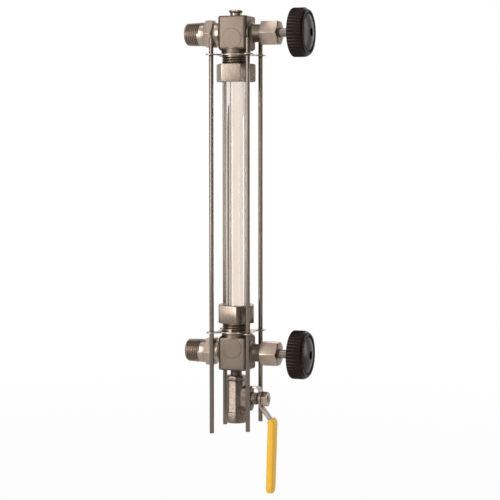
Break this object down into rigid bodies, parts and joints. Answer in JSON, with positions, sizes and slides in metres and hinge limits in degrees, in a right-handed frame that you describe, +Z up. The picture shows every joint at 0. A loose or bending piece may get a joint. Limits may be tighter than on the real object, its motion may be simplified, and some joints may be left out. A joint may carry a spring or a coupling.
{
  "type": "liquid level gauge",
  "caption": "Tubular glass liquid level gauge: glass between needle gauge valves with black handwheels, guard rods on stamped plates, vent plug and lever drain valve.",
  "frame": {"origin": "centre of the end face of the lower threaded shank, on the lower valve's stem axis", "axes": "+X from the vessel along the shank towards the handwheels, +Z up along the glass, +Y to the rear as seen in the picture"},
  "size_m": [0.117, 0.044, 0.4345],
  "materials": {
    "cast_bronze": "fine cast skin, satin",
    "machined_bronze": "turned and milled, satin",
    "stem_steel": "polished",
    "rod_steel": "drawn, satin",
    "plate_steel": "stamped, satin",
    "gauge_glass": "clear",
    "seal_rubber": "matt",
    "stem_packing": "braided, greased",
    "seat_ptfe": "smooth",
    "knob_plastic": "semi-gloss",
    "insert_brass": "turned",
    "drain_brass": "satin, lightly tarnished",
    "ball_chrome": "mirror",
    "lever_steel": "zinc plated",
    "grip_vinyl": "satin dipped vinyl"
  },
  "bodies": {
    "gauge": {"lower_valve_body": "cast_bronze", "lower_process_shank": "machined_bronze", "lower_stem_packing": "stem_packing", "lower_packing_bush": "machined_bronze", "lower_packing_nut": "machined_bronze", "lower_tube_gasket": "seal_rubber", "lower_glass_packing": "seal_rubber", "lower_gland_follower": "machined_bronze", "lower_gland_nut": "machined_bronze", "lower_guard_plate": "plate_steel", "upper_valve_body": "cast_bronze", "upper_process_shank": "machined_bronze", "upper_stem_packing": "stem_packing", "upper_packing_bush": "machined_bronze", "upper_packing_nut": "machined_bronze", "upper_tube_gasket": "seal_rubber", "upper_glass_packing": "seal_rubber", "upper_gland_follower": "machined_bronze", "upper_gland_nut": "machined_bronze", "upper_guard_plate": "plate_steel", "gauge_glass": "gauge_glass", "guard_rod_front_left": "rod_steel", "guard_rod_front_right": "rod_steel", "guard_rod_rear_left": "rod_steel", "guard_rod_rear_right": "rod_steel", "drain_end": "drain_brass", "drain_body": "drain_brass", "drain_upper_seat": "seat_ptfe", "drain_lower_seat": "seat_ptfe", "drain_stem_seal": "seat_ptfe", "drain_gland": "drain_brass", "vent_plug": "machined_bronze"},
    "lower_tip": {"lower_stem_tip": "stem_steel"},
    "lower_wheel": {"lower_stem": "stem_steel", "lower_handwheel": "knob_plastic", "lower_handwheel_insert": "insert_brass"},
    "upper_tip": {"upper_stem_tip": "stem_steel"},
    "upper_wheel": {"upper_stem": "stem_steel", "upper_handwheel": "knob_plastic", "upper_handwheel_insert": "insert_brass"},
    "drain_handle": {"drain_ball": "ball_chrome", "drain_stem": "stem_steel", "drain_lever": "lever_steel", "drain_grip": "grip_vinyl", "drain_lever_nut": "machined_bronze"}
  },
  "joints": [
    {"name": "lower_tip_slide", "type": "slide", "parent": "gauge", "child": "lower_tip", "axis": [1, 0, 0], "range_m": [-0.0048, 0.0016]},
    {"name": "lower_wheel_turn", "type": "hinge", "parent": "lower_tip", "child": "lower_wheel", "pos_m": [0.0465, 0, 0], "axis": [1, 0, 0], "range_deg": [-1080, 360]},
    {"name": "upper_tip_slide", "type": "slide", "parent": "gauge", "child": "upper_tip", "axis": [1, 0, 0], "range_m": [-0.0048, 0.0016]},
    {"name": "upper_wheel_turn", "type": "hinge", "parent": "upper_tip", "child": "upper_wheel", "pos_m": [0.0465, 0, 0.28575], "axis": [1, 0, 0], "range_deg": [-1080, 360]},
    {"name": "drain_lever_turn", "type": "hinge", "parent": "gauge", "child": "drain_handle", "pos_m": [0.0465, 0, -0.0415], "axis": [1, 0, 0], "range_deg": [-90, 0]}
  ],
  "couplings": [
    {"joint": "lower_tip_slide", "follows": "lower_wheel_turn", "m_per_rad": 0.00025266},
    {"joint": "upper_tip_slide", "follows": "upper_wheel_turn", "m_per_rad": 0.00025266}
  ]
}
